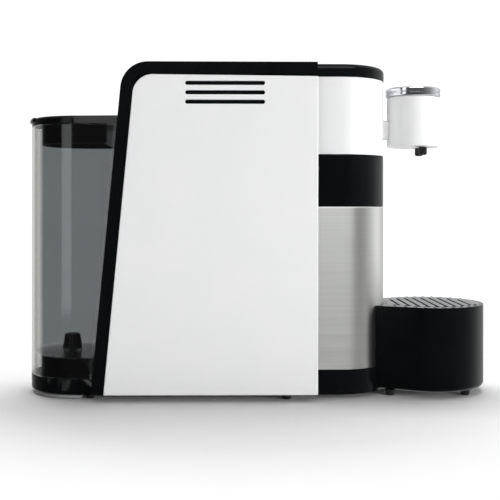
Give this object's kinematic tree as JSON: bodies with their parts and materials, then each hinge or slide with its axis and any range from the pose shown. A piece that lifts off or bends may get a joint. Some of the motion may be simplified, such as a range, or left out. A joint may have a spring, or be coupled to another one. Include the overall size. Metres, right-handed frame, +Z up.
{
  "type": "pod coffee machine",
  "caption": "Pod coffee machine: flat-sided body, lever lid, round-fronted brew column with spout, round drip tray and clear lift-off water tank",
  "frame": {"origin": "centre of the bounding box on the table, under the machine", "axes": "+X towards the cup side, +Z up, -Y is the left side of a person who stands at the tank"},
  "size_m": [0.3856, 0.108, 0.2719],
  "materials": {
    "black_gloss": "glossy black moulded plastic",
    "black_satin": "satin black moulded plastic",
    "white_gloss": "glossy white moulded plastic",
    "grey_plastic": "matt grey moulded plastic",
    "gear_plastic": "natural acetal",
    "brushed_silver": "vertical-light brushed steel sheet, grain across",
    "grate_steel": "pressed stainless steel",
    "steel": "plain steel",
    "alloy": "cast aluminium",
    "chrome": "polished chrome plate",
    "rubber": "matt black rubber",
    "smoked_clear": "smoky clear plastic",
    "board": "printed circuit board",
    "button_grey": "satin grey plastic"
  },
  "bodies": {
    "housing": {"base_frame": "black_satin", "body_shell": "black_gloss", "side_panel_left": "white_gloss", "side_panel_right": "white_gloss", "front_bulkhead": "black_satin", "head_shell": "white_gloss", "head_band": "black_gloss", "brew_frame": "grey_plastic", "pinion_axle": "steel", "lever_pin": "steel", "extraction_plate": "steel", "capsule_guide": "black_satin", "spout_neck": "white_gloss", "spout_shell": "white_gloss", "spout_base": "white_gloss", "spout_nozzle_left": "black_satin", "spout_nozzle_right": "black_satin", "spout_ring": "chrome", "control_disc": "black_gloss", "water_pump": "steel", "pump_mount_front": "rubber", "pump_mount_rear": "rubber", "thermoblock": "alloy", "flow_meter": "black_satin", "control_board": "board", "tank_dock": "black_gloss", "dock_plate": "grey_plastic", "dock_seal": "rubber", "hose_dock_to_meter": "rubber", "hose_pump_to_heater": "rubber", "hose_heater_to_head": "rubber", "cord_inlet": "rubber", "foot_front_left": "rubber", "foot_front_right": "rubber", "foot_rear_left": "rubber", "foot_rear_right": "rubber"},
    "lever": {"lever_cover": "black_gloss", "lever_sector": "gear_plastic"},
    "pinion": {"idler_pinion": "gear_plastic"},
    "piston": {"brew_rack": "gear_plastic", "brew_piston": "black_satin", "piston_seal": "rubber"},
    "tank": {"water_tank": "smoked_clear", "tank_filter": "black_satin", "valve_spring": "steel"},
    "tank_lid": {"tank_lid": "black_gloss"},
    "valve": {"tank_valve": "black_satin"},
    "drawer": {"tray_housing": "black_gloss", "bin_sleeve": "brushed_silver", "capsule_bin": "black_satin", "drip_bowl": "black_satin", "tray_foot_rear_left": "rubber", "tray_foot_rear_right": "rubber", "tray_foot_front_left": "rubber", "tray_foot_front_right": "rubber"},
    "grate": {"cup_grate": "grate_steel"},
    "power": {"power_button": "button_grey"},
    "espresso": {"espresso_button": "button_grey"},
    "lungo": {"lungo_button": "button_grey"}
  },
  "joints": [
    {"name": "lever_hinge", "type": "hinge", "parent": "housing", "child": "lever", "pos_m": [-0.0396, 0, 0.26615], "axis": [0, -1, 0], "range_deg": [0, 70]},
    {"name": "pinion_spin", "type": "hinge", "parent": "housing", "child": "pinion", "pos_m": [-0.01943, 0, 0.25039], "axis": [0, -1, 0], "range_deg": [-168.5, 0]},
    {"name": "brew_slide", "type": "slide", "parent": "housing", "child": "piston", "axis": [-1, 0, 0], "range_m": [0, 0.0221]},
    {"name": "tank_lift", "type": "slide", "parent": "housing", "child": "tank", "axis": [0, 0, 1], "range_m": [0, 0.08]},
    {"name": "lid_hinge", "type": "hinge", "parent": "tank", "child": "tank_lid", "pos_m": [-0.1146, 0, 0.228], "axis": [0, 1, 0], "range_deg": [0, 80]},
    {"name": "valve_slide", "type": "slide", "parent": "tank", "child": "valve", "axis": [0, 0, 1], "range_m": [-0.003, 0], "deforming": ["valve_spring"]},
    {"name": "drawer_slide", "type": "slide", "parent": "housing", "child": "drawer", "axis": [1, 0, 0], "range_m": [0, 0.09]},
    {"name": "grate_lift", "type": "slide", "parent": "drawer", "child": "grate", "axis": [0, 0, 1], "range_m": [0, 0.03]},
    {"name": "power_press", "type": "slide", "parent": "housing", "child": "power", "axis": [0, 0, -1], "range_m": [0, 0.0015], "stiffness_N_per_m": 400, "springref_m": -0.001},
    {"name": "espresso_press", "type": "slide", "parent": "housing", "child": "espresso", "axis": [0, 0, -1], "range_m": [0, 0.0015], "stiffness_N_per_m": 400, "springref_m": -0.001},
    {"name": "lungo_press", "type": "slide", "parent": "housing", "child": "lungo", "axis": [0, 0, -1], "range_m": [0, 0.0015], "stiffness_N_per_m": 400, "springref_m": -0.001}
  ],
  "couplings": [
    {"joint": "pinion_spin", "follows": "lever_hinge", "ratio": -2.4},
    {"joint": "brew_slide", "follows": "lever_hinge", "m_per_rad": 0.018},
    {"joint": "valve_slide", "follows": "tank_lift", "ratio": -0.0375}
  ]
}
